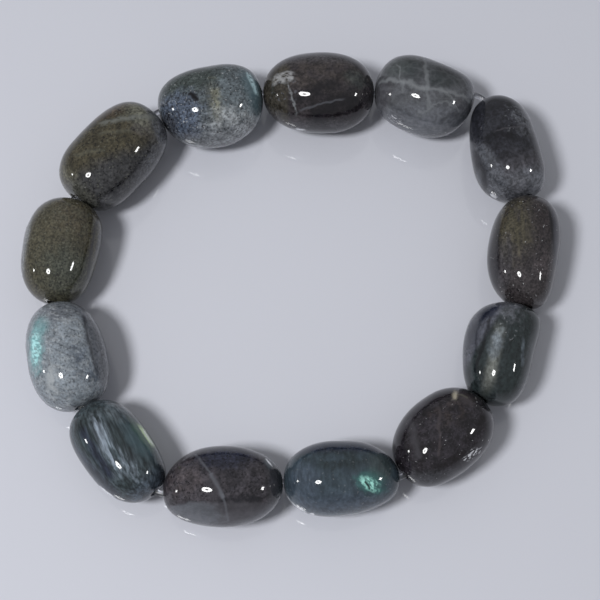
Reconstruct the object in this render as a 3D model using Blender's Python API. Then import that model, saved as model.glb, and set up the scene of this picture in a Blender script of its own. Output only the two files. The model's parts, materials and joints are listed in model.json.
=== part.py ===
"""Stretch bracelet of thirteen tumbled labradorite beads, lying in a ring on a flat surface.

The frame is in metres with +Z up. The beads rest on Z = 0, and the ring is centred on X = Y = 0.
Each bead is one stone with a hole drilled along it. One closed loop of elastic runs through them all.
A bead's own frame has X along its hole, Y to the outside of the ring and Z up.
"""

import math
from collections import namedtuple

import bmesh
import bpy
from mathutils import Matrix, Vector

MM = 0.001

# The elastic, and the holes that it runs through
CORD_DIAMETER = 0.7 * MM
CORD_BEND_RADIUS = 2.6 * MM
CORD_SHORTEST_BEND = 1.0 * MM
CORD_STEPS_PER_BEND = 4
CORD_BEVEL_RESOLUTION = 2
CORD_COLOUR = (0.75, 0.77, 0.80, 1.0)
CORD_ROUGHNESS = 0.2
HOLE_DIAMETER = 1.6 * MM
HOLE_SIDES = 12

# How a bead is made
SEGMENTS_AROUND = 22
RINGS_ALONG = 13
BEAD_GAP = 0.28 * MM
UNDERSIDE_FLAT_DEPTH = 0.05 * MM
SWAY_PEAK = 1.5 * math.sqrt(3.0)
SETTLING_ROUNDS = 8
CUTTER_OVERRUN = 2.0 * MM
SHARP_ANGLE = math.radians(40.0)
POLISH_ROUGHNESS = 0.08

# Width and height are across the hole, in mm. Fullness is the power of the lengthwise outline: 2 is
# an ellipse, and more is a fuller barrel. Taper makes the leading end fatter, as a share of the width.
# Belly moves the middle out from the hole, and sway moves one half out and the other half in, in mm.
Bead = namedtuple("Bead", "width height fullness taper belly sway colour")

# Clockwise from above, starting at the far left
BEADS = (
    Bead(10.7, 10.2, 2.3, 0.03, -0.8, 0.0, (0.10, 0.13, 0.14)),
    Bead(10.6, 10.1, 2.3, 0.04, 0.0, 0.0, (0.055, 0.05, 0.05)),
    Bead(10.4, 9.9, 2.1, -0.08, -0.5, -0.6, (0.12, 0.125, 0.125)),
    Bead(8.9, 9.6, 2.5, 0.10, -0.4, -0.4, (0.06, 0.062, 0.07)),
    Bead(8.9, 9.5, 2.4, -0.06, -0.6, -0.3, (0.085, 0.075, 0.06)),
    Bead(8.9, 9.5, 2.4, -0.03, -1.0, 0.6, (0.06, 0.075, 0.07)),
    Bead(9.8, 9.8, 2.3, -0.04, -0.3, -0.1, (0.045, 0.035, 0.04)),
    Bead(8.9, 9.5, 2.2, 0.08, -0.2, 0.1, (0.06, 0.085, 0.10)),
    Bead(9.6, 9.6, 2.1, 0.0, -0.2, -0.2, (0.08, 0.075, 0.085)),
    Bead(8.5, 9.4, 2.5, 0.04, 0.1, -0.2, (0.08, 0.10, 0.11)),
    Bead(9.7, 9.7, 2.4, -0.05, -0.1, -0.1, (0.17, 0.21, 0.22)),
    Bead(9.5, 9.7, 2.5, 0.09, 0.2, -0.1, (0.12, 0.11, 0.07)),
    Bead(10.1, 10.0, 2.8, -0.02, 0.0, 0.0, (0.10, 0.095, 0.07)),
)

# Where the elastic passes from one bead to the next, in mm. Each bead lies along the straight line
# from the point before its own to its own, so the first bead runs from the last point to the first.
ROUTE = (
    (-3.9, 25.9),
    (10.7, 25.8),
    (25.2, 25.6),
    (30.0, 10.9),
    (29.2, -4.1),
    (23.0, -15.9),
    (13.1, -25.4),
    (-1.0, -25.7),
    (-15.7, -27.5),
    (-25.4, -17.0),
    (-29.7, -3.5),
    (-28.0, 10.6),
    (-17.8, 23.0),
)


def bead_name(index):
    return f"bead_{index + 1:02d}"


def joint(index):
    """The route point at the leading end of a bead, on the floor plane, in metres."""
    return Vector(ROUTE[index % len(ROUTE)]) * MM


def heading(index):
    """The unit vector along a bead, clockwise round the ring."""
    return (joint(index) - joint(index - 1)).normalized()


def outward(direction):
    """The unit vector square to a heading, to the outside of the ring."""
    return Vector((-direction.y, direction.x))


def outline_radius(along, fullness):
    """Share of the full radius at a place along a bead, where along runs from -1 to 1."""
    return (1.0 - abs(along) ** fullness) ** (1.0 / fullness)


def middle_offset(bead, along):
    """How far the bead's middle line lies outside its hole, in metres."""
    return (bead.belly + bead.sway * SWAY_PEAK * along) * (1.0 - along * along) * MM


def plan_outline(bead, half_length):
    """The bead's outline from above, in its own frame."""
    points = []
    steps = 2 * SEGMENTS_AROUND
    for step in range(steps + 1):
        along = math.sin(math.pi * (step / steps - 0.5))
        radius = bead.width / 2 * MM * outline_radius(along, bead.fullness) * (1.0 + bead.taper * along)
        middle = middle_offset(bead, along)
        points.append(Vector((half_length * along, middle + radius)))
        points.append(Vector((half_length * along, middle - radius)))
    return points


def bead_place(index):
    """A bead's centre in plan and its half length.

    A bead stops short of the plane that halves each joint's turn, by half of the gap between beads.
    How far short depends on the bead's own shape, so the half length settles over a few rounds.
    """
    bead = BEADS[index]
    start = joint(index - 1)
    along = heading(index)
    across = outward(along)
    chord = (joint(index) - start).length
    leading = (along + heading(index + 1)).normalized()
    trailing = (along + heading(index - 1)).normalized()
    front_room = BEAD_GAP
    back_room = BEAD_GAP
    half_length = chord / 2 - BEAD_GAP
    for _ in range(SETTLING_ROUNDS):
        outline = plan_outline(bead, half_length)
        front = Vector((leading.dot(along), leading.dot(across)))
        back = Vector((trailing.dot(along), trailing.dot(across)))
        front_reach = max(point.dot(front) for point in outline)
        back_reach = max(-point.dot(back) for point in outline)
        front_room = (front_reach + BEAD_GAP / 2) / front.x - half_length
        back_room = (back_reach + BEAD_GAP / 2) / back.x - half_length
        half_length = (chord - front_room - back_room) / 2
    centre = start + along * (back_room + half_length)
    return centre, half_length


def new_collection(name):
    collection = bpy.data.collections.new(name)
    bpy.context.scene.collection.children.link(collection)
    return collection


def new_material(name, colour, roughness):
    material = bpy.data.materials.new(name)
    material.use_nodes = True
    shader = material.node_tree.nodes["Principled BSDF"]
    shader.inputs["Base Color"].default_value = colour
    shader.inputs["Roughness"].default_value = roughness
    shader.inputs["Metallic"].default_value = 0.0
    return material


def bead_mesh(name, bead, half_length):
    """A sphere with its poles on X, drawn out to the bead's outline and worn flat underneath."""
    mesh = bpy.data.meshes.new(name)
    form = bmesh.new()
    poles_on_x = Matrix.Rotation(math.radians(90.0), 4, "Y")
    bmesh.ops.create_uvsphere(
        form,
        u_segments=SEGMENTS_AROUND,
        v_segments=RINGS_ALONG,
        radius=1.0,
        matrix=poles_on_x,
    )
    for vertex in form.verts:
        along = max(-1.0, min(1.0, vertex.co.x))
        around = Vector((vertex.co.y, vertex.co.z))
        direction = around.normalized()
        reach = math.copysign(abs(along) ** (2.0 / bead.fullness), along)
        radius = around.length ** (2.0 / bead.fullness) * (1.0 + bead.taper * reach)
        across = middle_offset(bead, reach) + direction.x * radius * bead.width / 2 * MM
        upward = direction.y * radius * bead.height / 2 * MM
        vertex.co = Vector((half_length * reach, across, upward))
    lowest = min(vertex.co.z for vertex in form.verts)
    floor = lowest + UNDERSIDE_FLAT_DEPTH
    cut = bmesh.ops.bisect_plane(
        form,
        geom=form.verts[:] + form.edges[:] + form.faces[:],
        plane_co=(0.0, 0.0, floor),
        plane_no=(0.0, 0.0, -1.0),
        clear_outer=True,
    )
    rim = [part for part in cut["geom_cut"] if isinstance(part, bmesh.types.BMEdge)]
    bmesh.ops.contextual_create(form, geom=rim)
    bmesh.ops.recalc_face_normals(form, faces=form.faces)
    form.to_mesh(mesh)
    form.free()
    mesh.shade_smooth()
    mesh.set_sharp_from_angle(angle=SHARP_ANGLE)
    return mesh, -floor


def hole_cutter(index, half_length, matrix, collection):
    """A long thin cylinder along the bead's X axis."""
    name = f"{bead_name(index)}_hole"
    mesh = bpy.data.meshes.new(name)
    form = bmesh.new()
    bmesh.ops.create_cone(
        form,
        cap_ends=True,
        segments=HOLE_SIDES,
        radius1=HOLE_DIAMETER / 2,
        radius2=HOLE_DIAMETER / 2,
        depth=2 * half_length + CUTTER_OVERRUN,
        matrix=Matrix.Rotation(math.radians(90.0), 4, "Y"),
    )
    form.to_mesh(mesh)
    form.free()
    cutter = bpy.data.objects.new(name, mesh)
    cutter.matrix_world = matrix
    cutter.hide_render = True
    cutter.display_type = "WIRE"
    collection.objects.link(cutter)
    return cutter


def make_bead(index, parts, cutters):
    """One bead on its stretch of the route, resting on Z = 0. Gives the height of its hole."""
    bead = BEADS[index]
    name = bead_name(index)
    centre, half_length = bead_place(index)
    mesh, rise = bead_mesh(name, bead, half_length)
    obj = bpy.data.objects.new(name, mesh)
    turn = math.atan2(heading(index).y, heading(index).x)
    place = Matrix.Translation((centre.x, centre.y, rise))
    obj.matrix_world = place @ Matrix.Rotation(turn, 4, "Z")
    parts.objects.link(obj)
    mesh.materials.append(new_material(f"{name}_stone", (*bead.colour, 1.0), POLISH_ROUGHNESS))
    drill = obj.modifiers.new("drilled_hole", "BOOLEAN")
    drill.operation = "DIFFERENCE"
    drill.solver = "EXACT"
    drill.object = hole_cutter(index, half_length, obj.matrix_world, cutters)
    return rise


def cord_points(heights):
    """The elastic's middle line: straight inside each bead, with one smooth bend at each joint."""
    points = []
    for index in range(len(BEADS)):
        before = heading(index)
        after = heading(index + 1)
        half_turn = before.angle(after) / 2
        bend = CORD_BEND_RADIUS * math.sin(half_turn) / math.cos(half_turn) ** 2
        bend = max(bend, CORD_SHORTEST_BEND)
        corner = joint(index)
        enter = corner - before * bend
        leave = corner + after * bend
        low = heights[index]
        high = heights[(index + 1) % len(BEADS)]
        for step in range(CORD_STEPS_PER_BEND + 1):
            t = step / CORD_STEPS_PER_BEND
            spot = enter * (1 - t) ** 2 + corner * 2 * t * (1 - t) + leave * t ** 2
            ease = t * t * (3 - 2 * t)
            points.append(Vector((spot.x, spot.y, low + (high - low) * ease)))
    return points


def make_cord(heights, parts):
    """One closed loop of round elastic through all the holes."""
    curve = bpy.data.curves.new("elastic_cord", "CURVE")
    curve.dimensions = "3D"
    curve.bevel_depth = CORD_DIAMETER / 2
    curve.bevel_resolution = CORD_BEVEL_RESOLUTION
    points = cord_points(heights)
    spline = curve.splines.new("POLY")
    spline.points.add(len(points) - 1)
    for target, point in zip(spline.points, points):
        target.co = (*point, 1.0)
    spline.use_cyclic_u = True
    spline.use_smooth = True
    cord = bpy.data.objects.new("elastic_cord", curve)
    curve.materials.append(new_material("clear_elastic", CORD_COLOUR, CORD_ROUGHNESS))
    parts.objects.link(cord)


def main():
    for obj in list(bpy.data.objects):
        bpy.data.objects.remove(obj, do_unlink=True)
    parts = new_collection("labradorite_bead_bracelet")
    cutters = new_collection("hole_cutters")
    heights = [make_bead(index, parts, cutters) for index in range(len(BEADS))]
    make_cord(heights, parts)


main()
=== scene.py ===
"""A labradorite bead bracelet: thirteen tumbled stones on clear elastic, lying in a ring.

The frame is in metres with +Z up, and the beads rest on Z = 0. Each bead has a frame of its own, with
X along its hole, clockwise round the ring, Y to the outside of the ring and Z up. The markings of a
stone are placed in that frame, in millimetres, and their turns are in degrees from X towards Y.
"""

import json
import math
from collections import namedtuple

import bmesh
import bpy
from bpy.props import FloatProperty, FloatVectorProperty, PointerProperty
from mathutils import Matrix, Vector, noise

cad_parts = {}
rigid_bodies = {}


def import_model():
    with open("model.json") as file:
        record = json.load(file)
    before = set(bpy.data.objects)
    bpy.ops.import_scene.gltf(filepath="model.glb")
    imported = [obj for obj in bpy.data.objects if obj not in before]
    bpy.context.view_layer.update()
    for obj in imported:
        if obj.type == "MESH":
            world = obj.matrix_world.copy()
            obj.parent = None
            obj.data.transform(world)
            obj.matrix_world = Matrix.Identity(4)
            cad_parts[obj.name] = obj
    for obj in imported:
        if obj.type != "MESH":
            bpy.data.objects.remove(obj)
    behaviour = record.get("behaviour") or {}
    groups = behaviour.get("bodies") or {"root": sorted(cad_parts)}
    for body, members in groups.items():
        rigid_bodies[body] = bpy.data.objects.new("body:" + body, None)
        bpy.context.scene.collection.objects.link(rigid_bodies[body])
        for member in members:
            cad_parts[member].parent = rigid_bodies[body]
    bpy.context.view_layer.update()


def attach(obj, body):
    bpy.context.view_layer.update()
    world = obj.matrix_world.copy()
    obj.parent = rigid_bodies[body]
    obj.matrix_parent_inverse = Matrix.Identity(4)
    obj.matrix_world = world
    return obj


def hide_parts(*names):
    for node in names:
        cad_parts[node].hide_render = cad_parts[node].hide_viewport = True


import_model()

bl_info = {
    "name": "Labradorite Bead Bracelet",
    "version": (1, 0, 0),
    "blender": (4, 5, 0),
    "location": "3D View > Sidebar > Bracelet",
    "description": "Builds a stretch bracelet of thirteen tumbled labradorite beads",
    "category": "Add Mesh",
}

MM = 0.001
BODY = "root"

# Where the elastic passes from one bead to the next, as the frame has it, in mm. Each bead lies along
# the straight line from the point before its own to its own.
ROUTE = (
    (-3.9, 25.9),
    (10.7, 25.8),
    (25.2, 25.6),
    (30.0, 10.9),
    (29.2, -4.1),
    (23.0, -15.9),
    (13.1, -25.4),
    (-1.0, -25.7),
    (-15.7, -27.5),
    (-25.4, -17.0),
    (-29.7, -3.5),
    (-28.0, 10.6),
    (-17.8, 23.0),
)

# Width and height are across the hole, in mm. Fullness is the power of the lengthwise outline: 2 is
# an ellipse, and more is a fuller barrel. Taper makes the leading end fatter, as a share of the width.
# Belly moves the middle out from the hole, and sway moves one half out and the other half in, in mm.
Bead = namedtuple("Bead", "width height fullness taper belly sway")
BEADS = (
    Bead(10.7, 10.2, 2.3, 0.03, -0.8, 0.0),
    Bead(10.6, 10.1, 2.3, 0.04, 0.0, 0.0),
    Bead(10.4, 9.9, 2.1, -0.08, -0.5, -0.6),
    Bead(8.9, 9.6, 2.5, 0.10, -0.4, -0.4),
    Bead(8.9, 9.5, 2.4, -0.06, -0.6, -0.3),
    Bead(8.9, 9.5, 2.4, -0.03, -1.0, 0.6),
    Bead(9.8, 9.8, 2.3, -0.04, -0.3, -0.1),
    Bead(8.9, 9.5, 2.2, 0.08, -0.2, 0.1),
    Bead(9.6, 9.6, 2.1, 0.0, -0.2, -0.2),
    Bead(8.5, 9.4, 2.5, 0.04, 0.1, -0.2),
    Bead(9.7, 9.7, 2.4, -0.05, -0.1, -0.1),
    Bead(9.5, 9.7, 2.5, 0.09, 0.2, -0.1),
    Bead(10.1, 10.0, 2.8, -0.02, 0.0, 0.0),
)
SWAY_PEAK = 1.5 * math.sqrt(3.0)
SETTLING_ROUNDS = 8
OUTLINE_STEPS = 44

# The fine surface of a bead
SEGMENTS_AROUND = 128
RINGS_ALONG = 96
UNDERSIDE_FLAT_DEPTH = 0.06 * MM
LIP = 0.12 * MM
SHARP_ANGLE = math.radians(40.0)
SLOW_WAVE = 3.2 * MM
QUICK_WAVE = 1.1 * MM
QUICK_SHARE = 0.15
SEED_STEP = 7.31
DRAW_STEP = 3.7
PIT_SIZE = 0.5
PIT_DEPTH = 0.0015 * MM

# The elastic
CORD_BEND_RADIUS = 2.6 * MM
CORD_SHORTEST_BEND = 1.0 * MM
CORD_STEPS_PER_BEND = 12
CORD_BEVEL_RESOLUTION = 5
ELASTIC_IOR = 1.45
ELASTIC_ROUGHNESS = 0.2
ELASTIC_CLOUDS = 0.2
ELASTIC_CLOUDS_PER_METRE = 900.0

# The camera looks down on the bracelet from its front
AIM = Vector((1.0, -2.9, 4.7)) * MM
CAMERA_DISTANCE = 173.6 * MM
CAMERA_TILT = math.radians(20.0)
LENS = 84.0
SENSOR = 36.0
CLIP_START = 10.0 * MM
CLIP_END = 10.0

# The lamps: the way to each from the bracelet, and how far off they stand
LAMP_DISTANCE = 1.5
SOFT_LAMP_DISTANCE = 0.5
RING_LAMP_WAY = Vector((-0.34, -0.42, 0.84))
RING_LAMP_SEGMENTS = 64
SHADOW_LAMP_WAY = Vector((-0.40, -0.26, 0.85))
SIDE_PANEL_WAY = Vector((0.85, -0.24, 0.47))
LOW_PANEL_WAY = Vector((-0.95, -0.18, 0.27))

# The floor: its fibres are a faint darker noise, and a glossy coat lies over it
FLOOR_RADIUS = 2.0
FLOOR_SEGMENTS = 96
FLOOR_ROUGHNESS = 0.5
FIBRES_PER_METRE = 60.0
FIBRE_STRENGTH = 0.08
FIBRE_TONE = 0.8
COAT_ROUGHNESS = 0.04
COAT_IOR = 1.8

# Ways in a bead's own frame: along its hole, and to the outside and the inside of the ring
AHEAD = (1.0, 0.0, 0.0)
BACK = (-1.0, 0.0, 0.0)
OUTER = (0.0, 1.0, 0.0)
INNER = (0.0, -1.0, 0.0)

# What the markings share: a rough kind of noise, how soft its edges are, and feature sizes in mm
ROUGH = {"detail": 5.0, "roughness": 0.75}
SPECK_EDGE = 0.03
MOTTLE_EDGE = 0.16
SIDE_GRAIN = 1.5
WEB_WARP = 0.5
WEB_WARP_SCALE = 1.5
# Where the painted rim light fades out, by how far the surface faces up
RIM_LIGHT_EDGE = (-0.1, 0.4)

# A painted flash of labradorescent sheen: how far its glow spreads, the pitch of its hatching in mm, and how
# strong both are
FLASH_SPREAD = 1.4
HATCH_PITCH = 0.3
GLOW_LEAST = 0.3
GLOW_SWING = 0.4
HATCH_LEAST = 0.1
HATCH_SWING = 0.85

# The colours of the markings, from dark to light
INK = (0.003, 0.003, 0.005)
SOOT = (0.010, 0.010, 0.014)
PINE = (0.016, 0.023, 0.024)
NAVY = (0.018, 0.022, 0.042)
UMBER = (0.026, 0.019, 0.020)
PLUM = (0.030, 0.027, 0.034)
SMOKE = (0.036, 0.038, 0.045)
COCOA = (0.048, 0.040, 0.038)
OLIVE = (0.046, 0.042, 0.026)
MOSS = (0.044, 0.058, 0.054)
DUSK = (0.058, 0.056, 0.065)
MAUVE = (0.070, 0.058, 0.062)
RUST = (0.074, 0.052, 0.034)
MUSTARD = (0.095, 0.085, 0.050)
STEEL = (0.062, 0.080, 0.112)
BLUE_GREY = (0.085, 0.108, 0.155)
VIOLET_GREY = (0.090, 0.095, 0.120)
PEWTER = (0.118, 0.125, 0.145)
PALE_SLATE = (0.125, 0.152, 0.172)
TAN = (0.150, 0.152, 0.120)
HUSK = (0.160, 0.168, 0.155)
SILK = (0.200, 0.238, 0.285)
MIST = (0.230, 0.245, 0.260)
SAND = (0.400, 0.425, 0.445)
CHALK = (0.450, 0.460, 0.475)
CREAM = (0.460, 0.420, 0.330)
# White for painted glints and the bright cores of painted flashes
GLINT_WHITE = (0.920, 0.940, 1.000)
SEA = (0.085, 0.140, 0.165)
SEA_LIGHT = (0.480, 0.660, 0.720)
EMERALD = (0.050, 0.190, 0.170)
MINT = (0.380, 0.780, 0.690)
CYAN = (0.150, 0.400, 0.420)
ICE = (0.450, 0.800, 0.820)
LEAF = (0.090, 0.160, 0.110)
LIME = (0.740, 0.960, 0.560)


def colour(name, description, default):
    """A colour property."""
    return FloatVectorProperty(
        name=name, description=description, default=default, subtype="COLOR", size=3, min=0.0, max=1.0
    )


def length(name, description, default):
    """A length property, in metres."""
    return FloatProperty(
        name=name, description=description, default=default, subtype="DISTANCE", unit="LENGTH", min=0.0
    )


def share(name, description, default):
    """A plain number from 0 up."""
    return FloatProperty(name=name, description=description, default=default, min=0.0)


class BraceletSizes(bpy.types.PropertyGroup):
    """Sizes that are the same for all the beads, and those of the elastic."""

    bead_gap: length("Bead gap", "Room between two beads where they all but touch", 0.05 * MM)
    hole_diameter: length("Hole diameter", "Diameter of the hole drilled along each bead", 1.1 * MM)
    unevenness: length("Unevenness", "How far the tumbled surface wanders in or out", 0.07 * MM)
    elastic_diameter: length("Elastic diameter", "Diameter of the clear elastic", 0.7 * MM)


class StoneFinish(bpy.types.PropertyGroup):
    """The polish that all the stones share, and the clear parts of them."""

    roughness: share("Roughness", "Roughness of the polish", 0.05)
    ior: share("IOR", "Index of refraction of labradorite", 1.56)
    clear_colour: colour("Clear colour", "Tint of the clear parts", (0.78, 0.80, 0.88))
    absorption: share("Absorption", "How fast the clear parts darken with depth, per metre", 120.0)
    elastic_colour: colour("Elastic colour", "Tint of the clear elastic", (0.66, 0.67, 0.70))


class GroundColours(bpy.types.PropertyGroup):
    """The ground colour of each stone, under its markings."""

    bead_01: colour("Bead 1", "Slate, speckled", (0.082, 0.096, 0.104))
    bead_02: colour("Bead 2", "Charcoal", (0.027, 0.023, 0.026))
    bead_03: colour("Bead 3", "Smoky grey", (0.080, 0.084, 0.094))
    bead_04: colour("Bead 4", "Dark smoky grey", (0.022, 0.023, 0.030))
    bead_05: colour("Bead 5", "Dark olive-brown", (0.038, 0.033, 0.035))
    bead_06: colour("Bead 6", "Dark green-grey", (0.032, 0.039, 0.043))
    bead_07: colour("Bead 7", "Near-black purple-brown", (0.010, 0.008, 0.010))
    bead_08: colour("Bead 8", "Blue-green slate", (0.038, 0.055, 0.070))
    bead_09: colour("Bead 9", "Purple-grey", (0.044, 0.040, 0.047))
    bead_10: colour("Bead 10", "Dark blue-green", (0.046, 0.062, 0.072))
    bead_11: colour("Bead 11", "Light blue-grey", (0.200, 0.228, 0.258))
    bead_12: colour("Bead 12", "Khaki", (0.062, 0.057, 0.038))
    bead_13: colour("Bead 13", "Olive", (0.049, 0.043, 0.027))


class StageLook(bpy.types.PropertyGroup):
    """The floor and the light."""

    floor_colour: colour("Floor colour", "Colour of the pale floor", (0.69, 0.705, 0.78))
    floor_gloss: share("Floor gloss", "Strength of the smooth coat on the floor", 1.0)
    sky_colour: colour("Sky colour", "Colour of the soft light from all round", (0.96, 0.97, 1.0))
    sky_top: share("Sky overhead", "Radiance of the soft light from overhead", 0.32)
    sky_edge: share("Sky at the sides", "Radiance of the soft light from the sides", 0.25)
    ring_outer: length("Ring lamp outer radius", "Outer radius of the ring lamp", 0.15)
    ring_inner: length("Ring lamp inner radius", "Inner radius of the ring lamp", 0.045)
    ring_light: share("Ring lamp light", "Radiance of the ring lamp", 24.0)
    shadow_radius: length("Soft lamp radius", "Radius of the soft lamp on the left", 0.054)
    shadow_light: share("Soft lamp light", "Radiance of the soft lamp on the left", 57.0)
    side_width: length("Side panel width", "Width of the panel lamp on the right", 0.20)
    side_height: length("Side panel height", "Height of the panel lamp on the right", 0.12)
    side_light: share("Side panel light", "Radiance of the panel lamp on the right", 26.0)
    low_width: length("Low panel width", "Width of the low panel lamp on the left", 0.13)
    low_height: length("Low panel height", "Height of the low panel lamp on the left", 0.13)
    low_light: share("Low panel light", "Radiance of the low panel lamp on the left", 20.0)


def bead_name(index):
    return f"bead_{index + 1:02d}"


def joint(index):
    """The route point at the leading end of a bead, on the floor plane."""
    return Vector(ROUTE[index % len(ROUTE)]) * MM


def heading(index):
    """The unit vector along a bead, clockwise round the ring."""
    return (joint(index) - joint(index - 1)).normalized()


def outward(direction):
    """The unit vector square to a heading, to the outside of the ring."""
    return Vector((-direction.y, direction.x))


def outline_radius(along, fullness):
    """Share of the full radius at a place along a bead, where along runs from -1 to 1."""
    return (1.0 - abs(along) ** fullness) ** (1.0 / fullness)


def middle_offset(bead, along):
    """How far the bead's middle line lies outside its hole."""
    return (bead.belly + bead.sway * SWAY_PEAK * along) * (1.0 - along * along) * MM


def plan_outline(bead, half_length):
    """The bead's outline from above, in its own frame."""
    points = []
    for step in range(OUTLINE_STEPS + 1):
        along = math.sin(math.pi * (step / OUTLINE_STEPS - 0.5))
        radius = bead.width / 2 * MM * outline_radius(along, bead.fullness) * (1.0 + bead.taper * along)
        middle = middle_offset(bead, along)
        points.append(Vector((half_length * along, middle + radius)))
        points.append(Vector((half_length * along, middle - radius)))
    return points


def bead_place(index, gap):
    """A bead's centre in plan and its half length, short of the planes that halve its joints' turns."""
    bead = BEADS[index]
    start = joint(index - 1)
    along = heading(index)
    across = outward(along)
    chord = (joint(index) - start).length
    leading = (along + heading(index + 1)).normalized()
    trailing = (along + heading(index - 1)).normalized()
    front = Vector((leading.dot(along), leading.dot(across)))
    back = Vector((trailing.dot(along), trailing.dot(across)))
    half_length = chord / 2 - gap
    for _ in range(SETTLING_ROUNDS):
        outline = plan_outline(bead, half_length)
        front_reach = max(point.dot(front) for point in outline)
        back_reach = max(-point.dot(back) for point in outline)
        front_room = (front_reach + gap / 2) / front.x - half_length
        back_room = (back_reach + gap / 2) / back.x - half_length
        half_length = (chord - front_room - back_room) / 2
    return start + along * (back_room + half_length), half_length


def wander(spot, seed):
    """A smooth random number at a place, about -1 to 1: slow waves with a share of quicker ones."""
    shift = Vector((seed, -seed, seed * 0.5)) * SEED_STEP
    slow = noise.noise(spot / SLOW_WAVE + shift)
    quick = noise.noise(spot / QUICK_WAVE - shift)
    return slow + QUICK_SHARE * quick


def draw_out(form, bead, half_length, unevenness, seed):
    """Draws a unit sphere with its poles on X out to a bead's tumbled outline."""
    for vertex in form.verts:
        along = max(-1.0, min(1.0, vertex.co.x))
        around = Vector((vertex.co.y, vertex.co.z))
        side = around.normalized()
        reach = math.copysign(abs(along) ** (2.0 / bead.fullness), along)
        radius = around.length ** (2.0 / bead.fullness) * (1.0 + bead.taper * reach)
        across = middle_offset(bead, reach) + side.x * radius * bead.width / 2 * MM
        upward = side.y * radius * bead.height / 2 * MM
        spot = Vector((half_length * reach, across, upward))
        swell = unevenness * wander(spot, seed) * around.length
        vertex.co = spot + Vector((0.0, side.x, side.y)) * swell


def open_ends(form, hole_radius):
    """Opens both ends, rounds their lips and joins them with the wall of the hole."""
    lip_radius = hole_radius + LIP
    poles = [vertex for vertex in form.verts if math.hypot(vertex.co.y, vertex.co.z) < lip_radius]
    bmesh.ops.delete(form, geom=poles, context="VERTS")
    rims = [edge for edge in form.edges if edge.is_boundary]
    for vertex in {vertex for edge in rims for vertex in edge.verts}:
        scale = lip_radius / math.hypot(vertex.co.y, vertex.co.z)
        vertex.co = Vector((vertex.co.x, vertex.co.y * scale, vertex.co.z * scale))
    made = bmesh.ops.extrude_edge_only(form, edges=rims)["geom"]
    for vertex in [part for part in made if isinstance(part, bmesh.types.BMVert)]:
        inward = vertex.co.x - math.copysign(LIP, vertex.co.x)
        scale = hole_radius / lip_radius
        vertex.co = Vector((inward, vertex.co.y * scale, vertex.co.z * scale))
    inner = [edge for edge in form.edges if edge.is_boundary]
    bmesh.ops.bridge_loops(form, edges=inner)


def bead_mesh(index, half_length, sizes):
    """A bead's surface in its own frame, and how high its hole lies when it rests on its flat."""
    bead = BEADS[index]
    form = bmesh.new()
    bmesh.ops.create_uvsphere(
        form,
        u_segments=SEGMENTS_AROUND,
        v_segments=RINGS_ALONG,
        radius=1.0,
        matrix=Matrix.Rotation(math.radians(90.0), 4, "Y"),
    )
    draw_out(form, bead, half_length, sizes.unevenness, index + 1)
    floor = min(vertex.co.z for vertex in form.verts) + UNDERSIDE_FLAT_DEPTH
    for vertex in form.verts:
        vertex.co.z = max(vertex.co.z, floor)
    open_ends(form, sizes.hole_diameter / 2)
    bmesh.ops.recalc_face_normals(form, faces=form.faces)
    mesh = bpy.data.meshes.new(f"{bead_name(index)}_stone")
    form.to_mesh(mesh)
    form.free()
    mesh.shade_smooth()
    mesh.set_sharp_from_angle(angle=SHARP_ANGLE)
    return mesh, -floor


class Wire:
    """An output of a shader tree. Maths on wires adds the tree's Math nodes."""

    def __init__(self, tree, socket):
        self.tree = tree
        self.socket = socket

    def maths(self, operation, *values):
        return self.tree.node("ShaderNodeMath", {"operation": operation}, dict(enumerate(values)))

    def __add__(self, other):
        return self.maths("ADD", self, other)

    def __radd__(self, other):
        return self.maths("ADD", other, self)

    def __sub__(self, other):
        return self.maths("SUBTRACT", self, other)

    def __rsub__(self, other):
        return self.maths("SUBTRACT", other, self)

    def __mul__(self, other):
        return self.maths("MULTIPLY", self, other)

    def __abs__(self):
        return self.maths("ABSOLUTE", self)

    def most(self, other):
        """The larger of two values."""
        return self.maths("MAXIMUM", self, other)

    def rise(self, low, high):
        """A smooth step, from 0 at low to 1 at high."""
        return self.tree.node(
            "ShaderNodeMapRange",
            {"interpolation_type": "SMOOTHSTEP"},
            {"Value": self, "From Min": low, "From Max": high},
        )

    def fall(self, low, high):
        """A smooth step, from 1 at low to 0 at high."""
        return 1.0 - self.rise(low, high)

    def parts(self):
        """The X, Y and Z of a vector, or the red, green and blue of a colour."""
        split = self.tree.node("ShaderNodeSeparateXYZ", None, {0: self})
        return [Wire(self.tree, socket) for socket in split.socket.node.outputs]


class Tree:
    """The node tree of a material or a world."""

    def __init__(self, block):
        block.use_nodes = True
        self.nodes = block.node_tree.nodes
        self.links = block.node_tree.links
        self.nodes.clear()

    def node(self, kind, settings=None, values=None, output=0):
        """Adds a node: its settings, then the values or wires of its sockets. Gives one output."""
        node = self.nodes.new(kind)
        for name, value in (settings or {}).items():
            setattr(node, name, value)
        for key, value in (values or {}).items():
            socket = node.inputs[key]
            if isinstance(value, Wire):
                self.links.new(value.socket, socket)
            elif socket.type == "RGBA" and len(value) == 3:
                socket.default_value = (*value, 1.0)
            else:
                socket.default_value = value
        return Wire(self, node.outputs[output]) if node.outputs else node

    def vector_maths(self, operation, first, second, output=0):
        """Two vectors put together, as a vector, or as a number with output 1."""
        return self.node("ShaderNodeVectorMath", {"operation": operation}, {0: first, 1: second}, output)

    def mix(self, factor, first, second, blend_type="MIX"):
        """Two colours mixed."""
        settings = {"data_type": "RGBA", "blend_type": blend_type}
        return self.node("ShaderNodeMix", settings, {0: factor, 6: first, 7: second}, output=2)


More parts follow.
